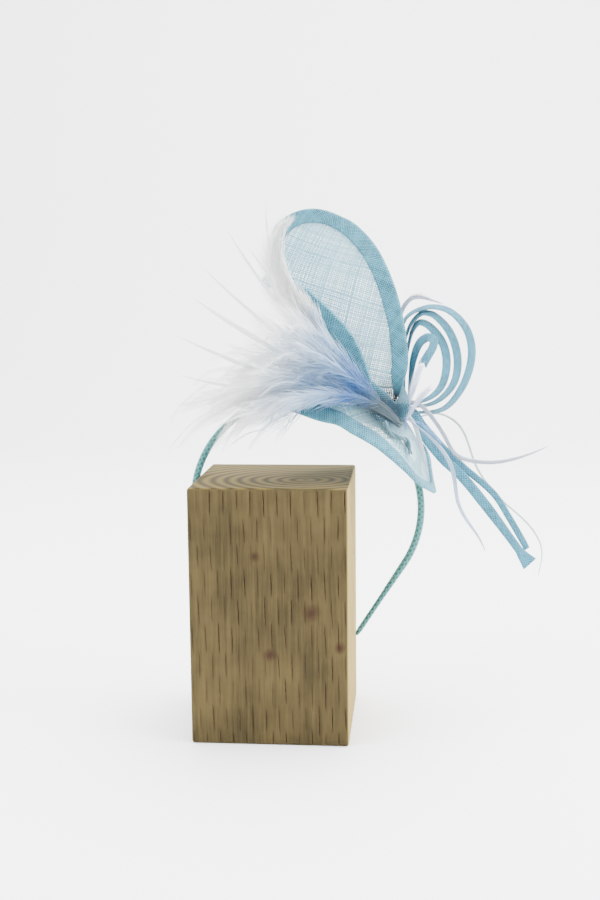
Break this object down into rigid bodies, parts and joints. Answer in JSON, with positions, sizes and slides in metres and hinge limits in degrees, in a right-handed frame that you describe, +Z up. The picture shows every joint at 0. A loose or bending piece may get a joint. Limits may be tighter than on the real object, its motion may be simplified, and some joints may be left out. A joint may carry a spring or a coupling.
{
  "type": "fascinator on a wooden block",
  "caption": "Headband fascinator with a sinamay base, folded petal, looped bow and feather plume, its wire band gripping a plain wooden block",
  "frame": {"origin": "middle of the wooden block's foot, on the surface it stands on", "axes": "+Z up, +X towards the side where the base, bow and tails hang, +Y away from the front of the block"},
  "size_m": [0.2369, 0.1027, 0.3416],
  "materials": {
    "softwood": "dry rough-sawn end-grained post, matt",
    "braid": "teal braid wrapped over wire",
    "felt": "grey-brown felt",
    "sinamay_sheet": "stiffened open plain weave, pale sky blue, slightly see-through",
    "bias_binding": "folded bias strip of the same weave, denser and bluer",
    "sinamay_strip": "folded bias strip of the same weave",
    "stitching": "dark blue thread over gathered quills and strips",
    "down_feather": "soft white to pale blue down",
    "lavender_feather": "thin lavender-blue feather",
    "green_feather": "thin pale green-white feather"
  },
  "bodies": {
    "root": {"base": "sinamay_sheet", "base_binding": "bias_binding", "headband": "braid", "knot": "stitching", "loop_inner": "sinamay_strip", "loop_middle": "sinamay_strip", "loop_outer": "sinamay_strip", "loop_short": "sinamay_strip", "pad_left": "felt", "pad_right": "felt", "petal": "sinamay_sheet", "petal_binding": "bias_binding", "plume": "down_feather", "tail_lower": "sinamay_strip", "tail_upper": "sinamay_strip", "trail_green": "green_feather", "trail_long": "lavender_feather", "trail_low": "lavender_feather", "trail_top": "lavender_feather", "trail_white": "down_feather", "wood_block": "softwood"}
  },
  "joints": []
}
